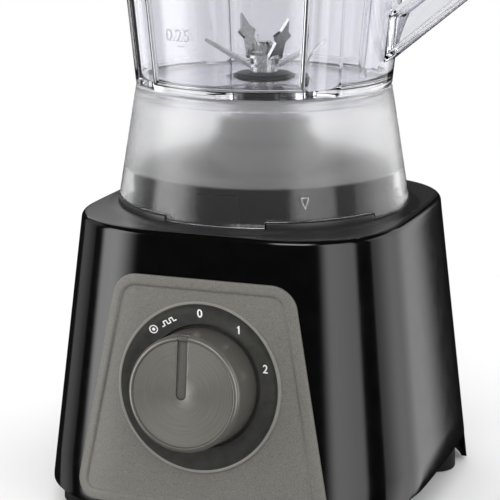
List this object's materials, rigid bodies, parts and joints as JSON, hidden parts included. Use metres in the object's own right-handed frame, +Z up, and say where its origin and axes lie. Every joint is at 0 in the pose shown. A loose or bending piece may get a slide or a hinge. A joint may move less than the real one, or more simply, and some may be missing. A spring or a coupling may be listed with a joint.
{
  "type": "countertop blender",
  "caption": "Countertop blender: tapered motor base with a speed dial, clear jug with handle on a frosted collar, steel blades, lid and measuring cap.",
  "frame": {"origin": "on the table under the motor's vertical axis, in the plane of the feet", "axes": "+Z up along the motor and jug axis, -Y to the front with the dial, +X to the jug's handle"},
  "size_m": [0.2225, 0.206, 0.395],
  "materials": {
    "housing_black": "gloss",
    "panel_metal": "satin metallic",
    "dish_black": "gloss",
    "knob_metal": "spun",
    "pointer_light": "satin",
    "inner_black": "matte",
    "rubber_black": "matte",
    "screw_steel": "zinc plated",
    "motor_iron": "laminated",
    "copper_wire": "enamelled",
    "bracket_alloy": "cast",
    "shaft_steel": "ground",
    "carbon": "matte",
    "board_green": "satin",
    "board_dark": "matte",
    "jug_clear": "clear moulded plastic",
    "collar_frosted": "frosted moulded plastic",
    "bearing_bronze": "sintered",
    "blade_steel": "polished",
    "lid_black": "satin",
    "cap_clear": "clear moulded plastic"
  },
  "bodies": {
    "base": {"motor_housing": "housing_black", "control_panel": "panel_metal", "dial_dish": "dish_black", "rotary_switch": "inner_black", "bottom_cover": "inner_black", "rubber_feet": "rubber_black", "cover_screws": "screw_steel", "stator_core": "motor_iron", "field_coils": "copper_wire", "motor_low_bracket": "bracket_alloy", "motor_top_bracket": "bracket_alloy", "upper_bearing": "shaft_steel", "lower_bearing": "shaft_steel", "brush_holders": "inner_black", "carbon_brushes": "carbon", "brush_springs": "shaft_steel", "motor_mounts": "rubber_black", "motor_screws": "screw_steel", "fan_shroud": "inner_black", "circuit_board": "board_green", "board_parts": "board_dark", "interlock_switch": "inner_black", "cord_inlet": "inner_black", "shaft_seal": "rubber_black"},
    "knob": {"knob_body": "knob_metal", "knob_face": "knob_metal", "knob_pointer": "pointer_light", "switch_spindle": "shaft_steel"},
    "interlock": {"interlock_pin": "inner_black"},
    "motor_rotor": {"motor_shaft": "shaft_steel", "armature_core": "motor_iron", "armature_windings": "copper_wire", "commutator": "copper_wire", "cooling_fan": "inner_black", "drive_coupling": "rubber_black"},
    "jug_unit": {"jug": "jug_clear", "jug_collar": "collar_frosted"},
    "blade_unit": {"blade_holder": "inner_black", "blade_seal": "rubber_black", "blade_bearing": "bearing_bronze"},
    "blade_rotor": {"blade_shaft": "shaft_steel", "driven_coupling": "inner_black", "lower_blade": "blade_steel", "upper_blade": "blade_steel", "blade_spacer": "shaft_steel", "blade_nut": "shaft_steel"},
    "lid_unit": {"lid": "lid_black", "lid_gasket": "rubber_black"},
    "cap_unit": {"measuring_cap": "cap_clear"}
  },
  "joints": [
    {"name": "knob_turn", "type": "hinge", "parent": "base", "child": "knob", "pos_m": [0, -0.0876, 0.0737], "axis": [0, 0.9921, -0.1253], "range_deg": [-45, 75]},
    {"name": "jug_lift", "type": "slide", "parent": "base", "child": "jug_unit", "axis": [0, 0, 1], "range_m": [0, 0.25]},
    {"name": "interlock_press", "type": "slide", "parent": "base", "child": "interlock", "axis": [0, 0, 1], "range_m": [0, 0.003]},
    {"name": "motor_spin", "type": "hinge", "parent": "base", "child": "motor_rotor", "pos_m": [0, 0, 0.1], "axis": [0, 0, 1], "continuous": true},
    {"name": "blade_release", "type": "hinge", "parent": "jug_unit", "child": "blade_unit", "pos_m": [0, 0, 0.19], "axis": [0, 0, 1], "range_deg": [0, 24]},
    {"name": "blade_spin", "type": "hinge", "parent": "blade_unit", "child": "blade_rotor", "pos_m": [0, 0, 0.2], "axis": [0, 0, 1], "continuous": true},
    {"name": "lid_lift", "type": "slide", "parent": "jug_unit", "child": "lid_unit", "axis": [0, 0, 1], "range_m": [0, 0.12]},
    {"name": "cap_lift", "type": "slide", "parent": "lid_unit", "child": "cap_unit", "axis": [0, 0, 1], "range_m": [0, 0.06]}
  ],
  "couplings": [
    {"joint": "blade_spin", "follows": "motor_spin", "ratio": 1},
    {"joint": "interlock_press", "follows": "jug_lift", "ratio": 0.012}
  ]
}
